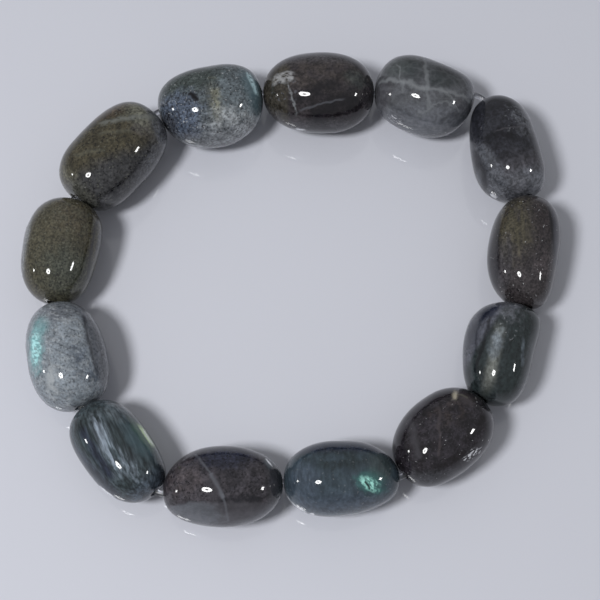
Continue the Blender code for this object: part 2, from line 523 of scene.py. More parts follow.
class Stone:
    """A stone being marked: its colour so far, and where it is clear."""

    def __init__(self, name, ground, seed):
        self.material = bpy.data.materials.new(name)
        self.tree = Tree(self.material)
        place = self.tree.node("ShaderNodeTexCoord", output=3)
        self.mm = self.tree.vector_maths("MULTIPLY", place, (1.0 / MM,) * 3)
        self.colour = ground
        self.clear = None
        self.seed = seed
        self.draws = 0

    def seen_from(self, centre, turn=0.0, size=(1.0, 1.0, 1.0)):
        """The stone's millimetres, in the frame of a marking with this centre, turn and size."""
        rotation = (0.0, 0.0, math.radians(turn))
        values = {"Vector": self.mm, "Location": centre, "Rotation": rotation, "Scale": size}
        return self.tree.node("ShaderNodeMapping", {"vector_type": "TEXTURE"}, values)

    def fresh_place(self, size, turn, stretch):
        """The stone's millimetres moved to a part of the noise that nothing else has used."""
        self.draws += 1
        shift = self.seed * SEED_STEP + self.draws * DRAW_STEP
        return self.seen_from((shift, -shift, shift / 2), turn, (size * stretch, size, size))

    def wave(self, size, turn=0.0, stretch=1.0, detail=3.0, roughness=0.55):
        """Noise about 0.5, with features of a size in mm, drawn out along one way."""
        place = self.fresh_place(size, turn, stretch)
        values = {"Vector": place, "Scale": 1.0, "Detail": detail, "Roughness": roughness}
        return self.tree.node("ShaderNodeTexNoise", None, values)

    def cloud(self, size, level=0.5, soft=0.12, **kind):
        """Where noise is over a level."""
        return self.wave(size, **kind).rise(level - soft, level + soft)

    def stray(self, grain, reach):
        """Noise about 0, as far as a reach to each side, with features of a size in mm."""
        return (self.wave(grain) - 0.5) * (2.0 * reach)

    def web(self, size, width, stretch):
        """Thin lines between cells of a size in mm, as healed cracks run."""
        place = self.fresh_place(size, 0.0, stretch)
        values = {"Vector": place, "Scale": WEB_WARP_SCALE}
        bent = self.tree.node("ShaderNodeTexNoise", None, values, output=1)
        shift = self.tree.vector_maths("MULTIPLY", bent, (WEB_WARP,) * 3)
        place = self.tree.vector_maths("ADD", place, shift)
        settings = {"feature": "DISTANCE_TO_EDGE"}
        edge = self.tree.node("ShaderNodeTexVoronoi", settings, {"Vector": place, "Scale": 1.0})
        return edge.fall(0.0, width)

    def patch(self, at, size, turn=0.0, soft=0.4, ragged=0.6, grain=1.0, up=2.5, tall=5.0):
        """A rounded patch in the stone, soft and ragged at its edge."""
        own = self.seen_from((*at, up), turn, (size[0] / 2, size[1] / 2, tall))
        off = self.tree.vector_maths("DISTANCE", own, (0.0, 0.0, 0.0), output=1)
        edge = off + self.stray(grain, ragged)
        return edge.fall(1.0 - soft, 1.0 + soft)

    def vein(self, start, end, width, wobble, grain=1.5, taper=0.3, soft=0.8):
        """A thin upright sheet in the stone, which shows as a line. Its width and wobble are in mm."""
        middle = ((start[0] + end[0]) / 2, (start[1] + end[1]) / 2, 0.0)
        turn = math.degrees(math.atan2(end[1] - start[1], end[0] - start[0]))
        half = math.dist(start, end) / 2
        along, across, _ = self.seen_from(middle, turn).parts()
        drift = self.stray(grain, 2.0 * wobble)
        line = abs(across + drift).fall(width / 2 * (1.0 - soft), width / 2 * (1.0 + soft))
        return line * abs(along).fall(half * (1.0 - taper), half)

    def beyond(self, way, distance, soft=0.4, ragged=0.4):
        """The part of the stone that lies further than a distance in one direction."""
        along = self.tree.vector_maths("DOT_PRODUCT", self.mm, Vector(way).normalized(), output=1)
        edge = along + self.stray(SIDE_GRAIN, ragged)
        return edge.rise(distance - soft, distance + soft)

    def tint(self, colour, mask):
        """Lays a colour on, where the mask is."""
        self.colour = self.tree.mix(mask, self.colour, colour)

    def mottle(self, size, amount, **kind):
        """Makes the colour darker in some places and lighter in others, by up to an amount."""
        light = self.cloud(size, 0.5, MOTTLE_EDGE, **kind) * (2.0 * amount) + (1.0 - amount)
        self.colour = self.tree.mix(1.0, self.colour, light, "MULTIPLY")

    def specks(self, colour, size, level, strength, within=1.0):
        """Small sharp spots of a colour."""
        self.tint(colour, self.cloud(size, level, SPECK_EDGE) * within * strength)

    def painted_rim_light(self, colour, strength):
        """Paints rim light: lays a lighter colour all round the stone's sides, from a little above its middle
        down, for the light that the edges catch from the pale floor.
        """
        upward = self.tree.node("ShaderNodeTexCoord", output=1).parts()[2]
        self.tint(colour, upward.fall(*RIM_LIGHT_EDGE) * strength)

    def painted_glint(self, start, end, width=0.5):
        """Paints a glint: a bright white line on the skin that stands for a lamp's reflection, from one place
        in the stone to another.
        """
        middle = (Vector(start) + Vector(end)) / 2
        way = Vector(end) - Vector(start)
        turn = math.degrees(math.atan2(way.y, way.x))
        size = (way.length, width)
        glint_mask = self.patch(middle.xy, size, turn, soft=0.4, ragged=0.4, grain=0.5, up=middle.z, tall=0.6)
        self.tint(GLINT_WHITE, glint_mask)

    def clear_up(self, mask):
        """Makes the stone clear, where the mask is."""
        self.clear = mask if self.clear is None else self.clear.most(mask)

    def painted_flash(self, glow, bright, at, size, turn, hatch_turn):
        """Painted sheen: the stone's labradorescent flash laid on as fixed colour, a patch in one colour
        crossed by fine bright and dark lines.
        """
        around = self.patch(at, (size[0] * FLASH_SPREAD, size[1] * FLASH_SPREAD), turn, soft=0.6)
        heart = self.patch(at, size, turn, ragged=0.5, grain=0.6)
        hatch = self.cloud(HATCH_PITCH, 0.5, 0.08, turn=hatch_turn, stretch=5.0, detail=2.0)
        self.tint(glow, around * (self.cloud(0.6) * GLOW_SWING + GLOW_LEAST))
        self.tint(bright, heart * (hatch * HATCH_SWING + HATCH_LEAST))

    def polished(self, finish):
        """The finished material."""
        tree = self.tree
        pits = self.wave(PIT_SIZE, detail=2.0)
        normal = tree.node("ShaderNodeBump", None, {"Distance": PIT_DEPTH, "Height": pits})
        shine = {"Roughness": finish.roughness, "IOR": finish.ior, "Normal": normal}
        surface = tree.node("ShaderNodeBsdfPrincipled", None, {"Base Color": self.colour, **shine})
        outlet = {"Surface": surface}
        if self.clear is not None:
            tone = tuple(finish.clear_colour)
            glassy = {"Base Color": tone, "Transmission Weight": 1.0, **shine}
            glass = tree.node("ShaderNodeBsdfPrincipled", None, glassy)
            outlet["Surface"] = tree.node("ShaderNodeMixShader", None, {0: self.clear, 1: surface, 2: glass})
            depth = {"Color": tone, "Density": finish.absorption}
            outlet["Volume"] = tree.node("ShaderNodeVolumeAbsorption", None, depth)
        tree.node("ShaderNodeOutputMaterial", None, outlet)
        return self.material


def mark_bead_01(stone):
    """Slate with dense flecks, tan in the middle, teal at its leading edge and clear below."""
    stone.tint(MOSS, stone.patch((-1.6, 1.4), (9.0, 4.6)) * 0.85)
    stone.tint(BLUE_GREY, stone.patch((-4.4, -3.0), (6.2, 6.0)) * 0.9)
    stone.tint(PALE_SLATE, stone.patch((3.4, -0.8), (5.0, 8.0)) * 0.6)
    stone.tint(TAN, stone.cloud(0.8, 0.42) * stone.patch((0.5, -2.2), (1.6, 4.8), ragged=0.9, soft=0.6))
    stone.tint(PEWTER, stone.beyond((0.0, -1.0, -0.2), 4.2, soft=0.8) * 0.5)
    # Painted rim light all round the sides.
    stone.painted_rim_light(MIST, 0.6)
    stone.tint(SMOKE, stone.patch((-6.0, -3.2), (2.2, 3.6)) * 0.8)
    stone.tint(SAND, stone.cloud(1.1, 0.42, 0.2) * stone.patch((2.2, -4.7), (6.5, 2.8), soft=0.6) * 0.6)
    stone.mottle(1.3, 0.3, **ROUGH)
    stone.mottle(0.35, 0.35)
    stone.specks(INK, 0.3, 0.61, 0.7)
    stone.specks(SOOT, 0.35, 0.56, 0.7, within=stone.patch((-4.0, -2.6), (7.0, 6.5)))
    stone.specks(CHALK, 0.3, 0.67, 0.7)
    stone.tint(SEA, stone.patch((5.7, -0.5), (2.4, 6.0), soft=0.8, ragged=0.7) * 0.8)
    broken = stone.cloud(0.5, 0.4)
    stone.tint(SEA_LIGHT, broken * stone.vein((5.3, 1.7), (6.0, -1.9), 0.5, 0.15, soft=1.0))
    stone.tint(INK, stone.vein((-2.7, -0.6), (-1.6, -2.2), 0.6, 0.15, grain=0.7, taper=0.4))
    # Painted glint: a lamp's reflection along the lower rim.
    stone.painted_glint((-4.4, -4.7, -0.4), (-2.2, -5.7, -0.4), 0.3)
    stone.clear_up(stone.beyond((0.0, -1.0, -0.5), 5.6) * 0.3)


def mark_bead_02(stone):
    """Charcoal with dark slanting bands, one white vein and a bluish clear underside."""
    stone.tint(COCOA, stone.cloud(2.2, 0.45, detail=4.0) * stone.patch((0.2, 0.6), (11.0, 5.5)))
    stone.tint(OLIVE, stone.beyond(BACK, 3.9) * 0.5)
    stone.tint(MOSS, stone.patch((4.7, -0.2), (3.0, 2.6)) * 0.5)
    stone.tint(DUSK, stone.beyond((0.0, 1.0, 0.2), 2.8, soft=0.8) * 0.7)
    stone.tint(DUSK, stone.beyond((0.0, -1.0, -0.3), 4.4) * 0.7)
    # Painted rim light all round the sides.
    stone.painted_rim_light(DUSK, 0.5)
    stone.mottle(0.9, 0.4, turn=25.0, stretch=2.5, **ROUGH)
    stone.mottle(0.35, 0.4)
    stone.tint(INK, stone.vein((-3.6, -3.2), (3.4, -0.8), 1.3, 0.5, grain=1.0, soft=1.0) * 0.75)
    stone.tint(INK, stone.vein((-1.6, -4.9), (5.8, -2.4), 2.3, 0.5, grain=1.0, soft=1.0) * 0.75)
    stone.tint(SOOT, stone.cloud(0.7, 0.48) * stone.patch((5.0, -0.6), (3.6, 5.0), ragged=0.9) * 0.5)
    stone.tint(PEWTER, stone.vein((-2.9, -4.2), (3.6, -2.9), 0.2, 0.15) * 0.45)
    streaked = stone.cloud(0.4, 0.46, turn=170.0, stretch=2.5)
    stone.tint(CHALK, streaked * stone.patch((-4.4, 0.1), (3.0, 1.6), ragged=0.9) * 0.6)
    stone.tint(CHALK, stone.vein((-5.9, 0.6), (-4.2, 0.2), 0.15, 0.1) * 0.4)
    stone.tint(CHALK, stone.vein((-4.9, 0.9), (-3.2, -0.6), 0.15, 0.1) * 0.4)
    feathered = stone.cloud(0.4, 0.42) * stone.vein((-4.2, -0.6), (-2.7, -4.6), 0.22, 0.2, grain=0.8)
    stone.tint(MIST, feathered * 0.65)
    stone.specks(PEWTER, 0.5, 0.64, 0.7, within=stone.patch((-4.4, -1.6), (4.0, 5.0)))
    # Painted glint: a lamp's reflection along the lower rim.
    stone.painted_glint((-5.4, -3.4, -1.5), (-2.0, -5.1, 0.2))


def mark_bead_03(stone):
    """Smoky grey with dark blotches and wisps of white, paler below."""
    stone.tint(MOSS, stone.patch((-3.4, 2.0), (4.0, 3.4), soft=0.6) * 0.5)
    stone.tint(PINE, stone.patch((-1.8, 1.2), (2.6, 3.4), soft=0.6, ragged=0.9) * 0.65)
    stone.tint(PINE, stone.patch((1.9, 0.3), (4.6, 3.0), soft=0.6, ragged=0.9) * 0.65)
    stone.tint(PINE, stone.patch((1.5, -1.0), (3.0, 1.2), soft=0.6) * 0.5)
    stone.tint(SMOKE, stone.patch((3.8, 1.8), (4.6, 3.2), soft=0.6) * 0.6)
    stone.tint(DUSK, stone.patch((-5.6, -1.4), (2.4, 4.0)) * 0.6)
    stone.tint(DUSK, stone.patch((4.6, -3.1), (2.2, 1.8)) * 0.5)
    stone.tint(PEWTER, stone.beyond((0.0, -1.0, -0.1), 3.2, soft=0.8) * 0.7)
    # Painted light: the leading end is lightened, for light shining through the stone at the joint.
    stone.tint(PEWTER, stone.beyond((1.0, -0.1, 0.0), 5.2, soft=0.8) * 0.6)
    # Painted rim light all round the sides.
    stone.painted_rim_light(PEWTER, 0.5)
    stone.mottle(1.6, 0.25, **ROUGH)
    stone.mottle(0.4, 0.15)
    stone.tint(MIST, stone.web(2.6, 0.08, stretch=1.6) * 0.10)
    stone.tint(MIST, stone.vein((-0.4, 3.6), (0.2, -5.0), 0.4, 0.3) * 0.35)
    stone.tint(MIST, stone.vein((-6.2, 0.6), (-0.2, -2.1), 0.5, 0.35, taper=0.1) * 0.55)
    stone.tint(MIST, stone.vein((-1.0, -1.8), (6.8, -2.1), 0.45, 0.4, taper=0.1) * 0.45)
    stone.tint(MIST, stone.vein((-3.9, 2.6), (-3.0, -2.4), 0.3, 0.4) * 0.35)
    stone.tint(MIST, stone.vein((-1.6, -4.6), (3.6, -3.0), 0.25, 0.5) * 0.3)
    stone.tint(MIST, stone.vein((1.6, -1.6), (4.8, -4.2), 0.25, 0.4) * 0.3)
    stone.tint(SMOKE, stone.vein((1.4, -5.2), (5.0, -3.8), 0.4, 0.3, soft=1.0) * 0.6)
    # Painted glint: fine white ripples on the rim at the trailing end, for reflections of light there.
    painted_glint_ripples = stone.cloud(0.3, 0.58, 0.05, turn=30.0, stretch=1.6)
    stone.tint(GLINT_WHITE, painted_glint_ripples * stone.patch((-4.1, -4.2), (2.2, 0.9), -29.0, up=0.6, tall=1.0) * 0.6)
    stone.clear_up(stone.beyond((0.1, -1.0, -0.5), 5.4) * 0.3)


def mark_bead_04(stone):
    """Dark smoky grey with pale specks, clear along its inner side."""
    stone.tint(DUSK, stone.beyond(AHEAD, 3.2, soft=1.6, ragged=0.8) * 0.8)
    stone.tint(INK, stone.cloud(1.0, 0.44) * stone.patch((-0.2, -0.6), (2.8, 6.0), ragged=0.9) * 0.85)
    stone.tint(INK, stone.cloud(0.9, 0.46) * stone.patch((-4.4, -1.2), (3.4, 5.2), ragged=0.9) * 0.4)
    stone.tint(SOOT, stone.cloud(1.2, 0.46) * stone.patch((1.8, -1.0), (4.4, 5.6), ragged=0.9) * 0.6)
    # Painted light: the leading end is lightened, for light shining through the stone at the joint.
    stone.tint(PEWTER, stone.beyond(AHEAD, 5.2, soft=1.0) * 0.9)
    stone.tint(COCOA, stone.patch((6.5, -1.6), (1.8, 3.4)) * 0.2)
    pale = stone.cloud(0.8, 0.48, detail=4.0) * stone.patch((-1.6, 2.0), (4.4, 3.0), ragged=0.9)
    stone.tint(PEWTER, pale * 0.8)
    side = stone.beyond((0.2, -1.0, 0.0), 3.6, soft=0.5) * stone.beyond(AHEAD, -0.6, soft=0.8)
    stone.tint(PEWTER, side * 0.9)
    # Painted rim light all round the sides.
    stone.painted_rim_light(PEWTER, 0.3)
    stone.mottle(1.0, 0.35, **ROUGH)
    stone.mottle(0.4, 0.35)
    stone.specks(MIST, 0.4, 0.63, 0.6, within=stone.patch((-1.6, 1.4), (4.4, 4.0)))
    stone.tint(DUSK, stone.vein((-0.9, -2.4), (-0.3, 3.8), 0.25, 0.3) * 0.6)
    stone.tint(INK, stone.vein((-1.2, -4.7), (2.6, -5.0), 0.5, 0.15, taper=0.4) * 0.9)
    stone.tint(SOOT, stone.vein((-0.4, -4.7), (4.8, -4.7), 0.5, 0.15, taper=0.15) * 0.9)
    # Painted glint: a lamp's reflection on the rim at the leading end.
    stone.painted_glint((5.3, -4.2, -0.2), (5.9, -3.7, -0.6), 0.3)
    stone.clear_up(side * 0.25)


def mark_bead_05(stone):
    """Dark olive-brown with yellow streaks along its inner side."""
    streaky = stone.cloud(0.6, 0.46, turn=5.0, stretch=7.0, detail=4.0)
    stone.tint(MUSTARD, streaky * stone.patch((-2.4, -2.2), (8.5, 4.2), soft=0.6) * 0.6)
    stone.tint(OLIVE, stone.patch((-2.4, -2.4), (9.0, 5.0), soft=0.6) * 0.4)
    stone.tint(UMBER, stone.patch((-2.6, 1.4), (6.0, 3.0), soft=0.6) * 0.5)
    stone.tint(MAUVE, stone.cloud(0.9, 0.46) * stone.patch((2.8, 1.4), (3.8, 2.4), ragged=0.9) * 0.7)
    stone.tint(DUSK, stone.patch((2.6, -3.4), (6.0, 2.2)) * 0.4)
    stone.mottle(1.0, 0.3, stretch=2.5, **ROUGH)
    stone.mottle(0.3, 0.4)
    stone.tint(NAVY, stone.vein((-5.4, 2.6), (2.8, 3.3), 0.9, 0.15, soft=1.0) * 0.5)
    stone.tint(INK, stone.vein((-5.8, 1.9), (1.6, 2.9), 0.3, 0.12) * 0.8)
    stone.tint(SOOT, stone.beyond(INNER, 3.9, soft=0.2) * 0.6)
    stone.specks(CHALK, 0.35, 0.70, 0.9)
    stone.specks(SOOT, 0.4, 0.62, 0.5)


def mark_bead_06(stone):
    """Dark green-grey streaks, cloudy at the trailing end, with the pale hole showing through."""
    stone.tint(PINE, stone.cloud(0.9, 0.46, turn=12.0, stretch=5.0, detail=4.0) * 0.8)
    stone.tint(PINE, stone.patch((1.8, 1.2), (8.0, 2.6), turn=12.0) * 0.7)
    stone.tint(PEWTER, stone.cloud(1.0, 0.42, detail=4.0) * stone.patch((-4.4, -2.2), (3.8, 3.4), ragged=0.9))
    stone.tint(PINE, stone.patch((4.6, 1.7), (3.4, 2.4)) * 0.7)
    stone.tint(HUSK, stone.vein((-2.4, -2.3), (6.9, 0.2), 1.1, 0.15, soft=0.9, taper=0.5) * 0.8)
    stone.tint(SILK, stone.patch((0.8, -1.5), (3.4, 1.4), turn=15.0, soft=0.6, ragged=0.7) * 0.6)
    stone.tint(SILK, stone.vein((-1.8, 1.0), (1.8, 2.5), 0.3, 0.2) * 0.3)
    stone.tint(VIOLET_GREY, stone.beyond((-0.1, -1.0, 0.0), 3.1, ragged=0.2) * 0.9)
    stone.mottle(0.8, 0.3, turn=12.0, stretch=3.0, **ROUGH)
    stone.mottle(0.4, 0.25)
    stone.specks(MIST, 0.4, 0.64, 0.7, within=stone.patch((-1.6, -2.2), (5.0, 5.0)))
    stone.tint(INK, stone.vein((-2.6, -3.6), (5.0, -2.2), 0.4, 0.15, taper=0.15) * 0.7)
    stone.tint(NAVY, stone.patch((-2.9, -4.0), (3.0, 1.6), turn=-20.0, ragged=0.4) * 0.9)
    stone.tint(PEWTER, stone.beyond(OUTER, 3.4) * stone.cloud(0.9, 0.45) * 0.5)
    stone.clear_up(stone.beyond(INNER, 3.8) * 0.35)
    stone.clear_up(stone.beyond(OUTER, 3.6) * 0.3)


def mark_bead_07(stone):
    """Near-black purple-brown with faint grey veins and one tan spot."""
    stone.tint(PLUM, stone.cloud(1.8, 0.48, detail=4.0) * 0.6)
    stone.tint(RUST, stone.cloud(1.2, 0.52) * stone.patch((-1.8, -1.2), (5.4, 3.6)) * 0.15)
    stone.tint(SMOKE, stone.beyond((0.8, 1.0, 0.0), 4.4) * 0.5)
    stone.mottle(0.9, 0.5, **ROUGH)
    stone.mottle(0.3, 0.4)
    stone.tint(MAUVE, stone.vein((-1.6, -3.0), (3.2, 2.0), 0.35, 0.3, soft=1.0) * 0.5)
    stone.tint(DUSK, stone.vein((1.9, -4.5), (4.9, 0.5), 0.8, 0.25, soft=1.0) * 0.6)
    stone.tint(MAUVE, stone.patch((-4.4, -1.2), (1.5, 2.2), soft=0.8, ragged=0.5) * 0.6)
    stone.tint(CREAM, stone.patch((-3.8, -2.3), (1.3, 0.6), 35.0, soft=0.8, ragged=0.8, grain=0.4) * 0.9)
    stone.tint(TAN, stone.vein((-4.2, -2.2), (-4.7, -0.9), 0.25, 0.15, soft=1.0) * 0.5)
    stone.specks(CHALK, 0.35, 0.71, 0.8)
    # Painted glint: a jagged white line on the outer side, for a lamp's reflection in small facets.
    painted_jagged_glint = stone.cloud(0.3, 0.55, 0.05, turn=160.0, stretch=2.0)
    stone.tint(GLINT_WHITE, painted_jagged_glint * stone.patch((-0.4, 4.0), (2.6, 0.9), 166.0, up=2.3, tall=1.0) * 0.7)


def mark_bead_08(stone):
    """Blue-green slate with an emerald flash at its trailing end."""
    stone.tint(STEEL, stone.beyond((0.0, 1.0, -0.1), 2.2, soft=1.0) * 0.6)
    stone.tint(PINE, stone.cloud(1.6, 0.46, detail=4.0) * stone.patch((0.4, -1.2), (6.0, 3.6)) * 0.7)
    stone.tint(MOSS, stone.patch((-4.4, -0.8), (3.4, 3.4)) * 0.5)
    stone.tint(STEEL, stone.patch((4.4, 0.8), (3.6, 4.0)) * 0.5)
    stone.tint(PALE_SLATE, stone.beyond((0.0, 1.0, -0.3), 4.0, soft=0.5) * 0.6)
    # Painted rim light all round the sides.
    stone.painted_rim_light(PALE_SLATE, 0.7)
    stone.tint(NAVY, stone.beyond((0.0, -1.0, 0.1), 2.8) * 0.8)
    stone.mottle(1.1, 0.2, turn=80.0, stretch=1.6, **ROUGH)
    stone.mottle(0.4, 0.2, turn=90.0, stretch=3.0)
    stone.specks(MIST, 0.35, 0.67, 0.3)
    # Painted sheen: the emerald labradorescent flash, laid on as fixed colour.
    stone.tint(EMERALD, stone.patch((-3.6, 0.7), (2.2, 1.6), soft=0.8) * 0.3)
    stone.painted_flash(EMERALD, MINT, (-3.1, 1.35), (2.3, 1.3), 160.0, 135.0)
    stone.tint(INK, stone.vein((-2.5, 1.1), (-3.2, 2.0), 0.22, 0.05) * 0.9)
    # Painted glints: a lamp's reflection along the rim.
    stone.painted_glint((6.4, 1.9, 0.4), (4.4, 3.8, -0.2))
    stone.painted_glint((3.9, 4.0, -0.2), (3.3, 4.2, -0.2))


def mark_bead_09(stone):
    """Purple-grey and navy with a curved grey vein, paler and clear along its outer side."""
    stone.tint(MAUVE, stone.cloud(1.0, 0.46, detail=4.0) * stone.patch((4.2, -1.4), (5.2, 4.6)) * 0.6)
    stone.tint(NAVY, stone.patch((-0.6, -2.7), (6.8, 3.2), soft=0.6) * 0.85)
    stone.tint(SOOT, stone.cloud(1.2, 0.48, detail=4.0) * stone.patch((-3.2, 0.4), (8.0, 4.6)) * 0.5)
    stone.mottle(1.0, 0.35, **ROUGH)
    stone.mottle(0.35, 0.35)
    stone.specks(INK, 0.35, 0.61, 0.7)
    stone.specks(INK, 0.5, 0.56, 0.7, within=stone.patch((-2.6, 1.7), (5.0, 1.6), ragged=0.9))
    # Painted light: the trailing end is lightened, for light shining through the stone at the joint.
    stone.tint(SMOKE, stone.beyond(BACK, 5.4, soft=0.8) * 0.8)
    stone.tint(DUSK, stone.beyond((0.1, 1.0, 0.0), 2.5, soft=0.3, ragged=0.3) * 0.9)
    edge = stone.beyond((0.12, 1.0, 0.0), 2.5, soft=0.2, ragged=0.5)
    side = edge * stone.patch((3.8, 3.2), (6.6, 3.0), turn=-12.0, soft=0.35, ragged=0.4)
    stone.tint(PEWTER, side)
    # Painted rim light: the outer rim towards the trailing end is lightened, for a glint along it.
    stone.tint(PEWTER, stone.beyond((-0.5, 1.0, -0.2), 5.0, soft=0.6) * 0.7)
    # Painted rim light all round the sides.
    stone.painted_rim_light(PEWTER, 0.4)
    stone.mottle(1.4, 0.2, **ROUGH)
    stone.tint(SOOT, stone.vein((1.2, 2.2), (-4.8, 2.6), 0.5, 0.25, grain=0.8, soft=1.0) * 0.8)
    stone.tint(PEWTER, stone.vein((2.8, -3.8), (1.0, -0.6), 0.25, 0.15, taper=0.1) * 0.5)
    stone.tint(PEWTER, stone.vein((1.1, -0.9), (-0.1, 2.2), 0.4, 0.15, taper=0.1) * 0.8)
    stone.tint(PEWTER, stone.vein((0.0, 1.6), (-0.3, 4.4), 0.25, 0.1, taper=0.1) * 0.5)
    stone.tint(DUSK, stone.patch((1.0, 0.8), (1.8, 3.2)) * 0.4)
    stone.tint(PALE_SLATE, stone.patch((-5.8, -1.9), (1.2, 1.6)) * 0.6)
    # Painted glints: a lamp's reflection on the rims.
    stone.painted_glint((5.8, 2.8, -0.9), (2.5, 4.4, -1.4), 0.7)
    stone.painted_glint((-5.4, -2.4, 2.1), (-6.0, -1.4, 2.2), 0.25)
    stone.clear_up(side * 0.15)


def mark_bead_10(stone):
    """Dark blue-green with pale silky streaks and a green flash line on its inner side."""
    stone.tint(PINE, stone.cloud(1.2, 0.5, turn=160.0, stretch=5.0, detail=3.0) * 0.7)
    silk = stone.cloud(0.45, 0.47, 0.09, turn=162.0, stretch=9.0, detail=4.0)
    stone.tint(SILK, silk * stone.vein((5.4, -0.6), (-4.4, 2.2), 1.3, 0.2, soft=1.0, taper=0.6))
    stone.tint(SILK, silk * stone.vein((-0.6, 0.2), (-6.0, 0.9), 1.4, 0.2, soft=1.0) * 0.5)
    stone.tint(NAVY, stone.vein((4.6, 1.6), (-3.4, 3.0), 0.8, 0.2, soft=1.0) * 0.8)
    stone.tint(PALE_SLATE, stone.patch((3.2, -2.8), (4.0, 2.2), soft=0.6) * 0.7)
    # Painted light: the trailing end is lightened, for light shining through the stone at the joint.
    stone.tint(STEEL, stone.beyond(BACK, 5.4, soft=0.8) * 0.5)
    stone.tint(NAVY, stone.beyond(OUTER, 3.4) * 0.5)
    stone.mottle(0.35, 0.45, turn=162.0, stretch=9.0, detail=3.0)
    stone.mottle(0.7, 0.3, turn=162.0, stretch=4.0, **ROUGH)
    stone.tint(SEA, stone.patch((-1.4, -2.4), (4.6, 2.0), turn=176.0, soft=0.8) * 0.6)
    # Painted sheen: the green labradorescent flash line, laid on as fixed colour with a white core.
    stone.tint(LEAF, stone.patch((-1.0, -3.2), (4.2, 1.0), turn=174.0, soft=0.7) * 0.7)
    stone.tint(LIME, stone.vein((0.7, -3.8), (-3.3, -3.25), 0.42, 0.03, taper=0.7, soft=0.5))
    stone.tint(GLINT_WHITE, stone.vein((-0.2, -3.75), (-2.9, -3.35), 0.2, 0.03, taper=0.6) * 0.7)
    # Painted glint: a lamp's reflection along the outer rim.
    stone.painted_glint((-1.7, 4.4, 0.0), (-3.9, 3.9, 0.3))


def mark_bead_11(stone):
    """Light blue-grey, mottled, with a cyan flash on its outer side and a clear inner rim."""
    stone.tint(STEEL, stone.cloud(1.8, 0.48, detail=4.0) * stone.patch((-3.0, -2.0), (5.6, 3.0)) * 0.7)
    stone.tint(PEWTER, stone.patch((4.6, -1.0), (3.4, 5.0)) * 0.6)
    stone.tint(SAND, stone.cloud(0.5, 0.56, 0.1, turn=55.0, stretch=2.5, detail=4.0) * 0.4)
    stone.tint(PEWTER, stone.beyond(INNER, 3.2, ragged=0.2) * 0.8)
    stone.mottle(1.2, 0.2, turn=40.0, stretch=1.5, **ROUGH)
    stone.mottle(0.3, 0.25, detail=4.0, roughness=0.7)
    stone.specks(SOOT, 0.3, 0.60, 0.5)
    stone.tint(SMOKE, stone.vein((0.8, 1.4), (-1.4, -2.2), 0.2, 0.3) * 0.4)
    stone.tint(SMOKE, stone.vein((-0.4, 1.0), (-2.4, -1.4), 0.15, 0.3) * 0.4)
    stone.tint(SAND, stone.cloud(0.9, 0.40) * stone.patch((-3.6, 2.1), (3.0, 1.5), 170.0, soft=0.6) * 0.7)
    # Painted sheen: the cyan labradorescent flash, laid on as fixed colour.
    stone.tint(CYAN, stone.patch((3.1, 1.7), (2.4, 1.8), soft=0.8) * 0.35)
    stone.painted_flash(CYAN, ICE, (0.9, 2.95), (3.7, 1.4), 166.0, 50.0)
    stone.tint(SOOT, stone.vein((4.2, -3.5), (-5.2, -3.1), 0.3, 0.15, soft=1.0) * 0.6)
    stone.clear_up(stone.beyond(INNER, 4.0, ragged=0.2) * 0.25)


def mark_bead_12(stone):
    """Khaki, finely speckled, greyer towards its trailing end, with clear rims."""
    stone.tint(RUST, stone.cloud(1.2, 0.5) * stone.patch((2.6, -1.0), (8.0, 5.0), soft=0.6) * 0.25)
    stone.tint(MOSS, stone.patch((-3.4, -1.6), (5.6, 6.0), soft=0.8) * 0.5)
    stone.tint(TAN, stone.cloud(1.0, 0.5, detail=4.0) * stone.patch((2.6, 0.6), (5.6, 6.0), soft=0.8) * 0.15)
    stone.tint(MIST, stone.beyond(OUTER, 3.8, soft=0.4, ragged=0.3) * 0.75)
    stone.tint(PEWTER, stone.beyond(INNER, 4.5, soft=0.15, ragged=0.1) * 0.7)
    stone.mottle(1.8, 0.2, detail=5.0, roughness=0.8)
    stone.mottle(0.3, 0.4)
    stone.specks(SOOT, 0.3, 0.60, 0.5)
    stone.specks(TAN, 0.3, 0.64, 0.6)
    stone.tint(SOOT, stone.vein((-5.4, -4.0), (5.0, -4.1), 0.25, 0.05, soft=1.0) * 0.7)
    stone.clear_up(stone.beyond(OUTER, 4.2, ragged=0.2) * 0.2)
    stone.clear_up(stone.beyond(INNER, 4.7, ragged=0.1) * 0.3)


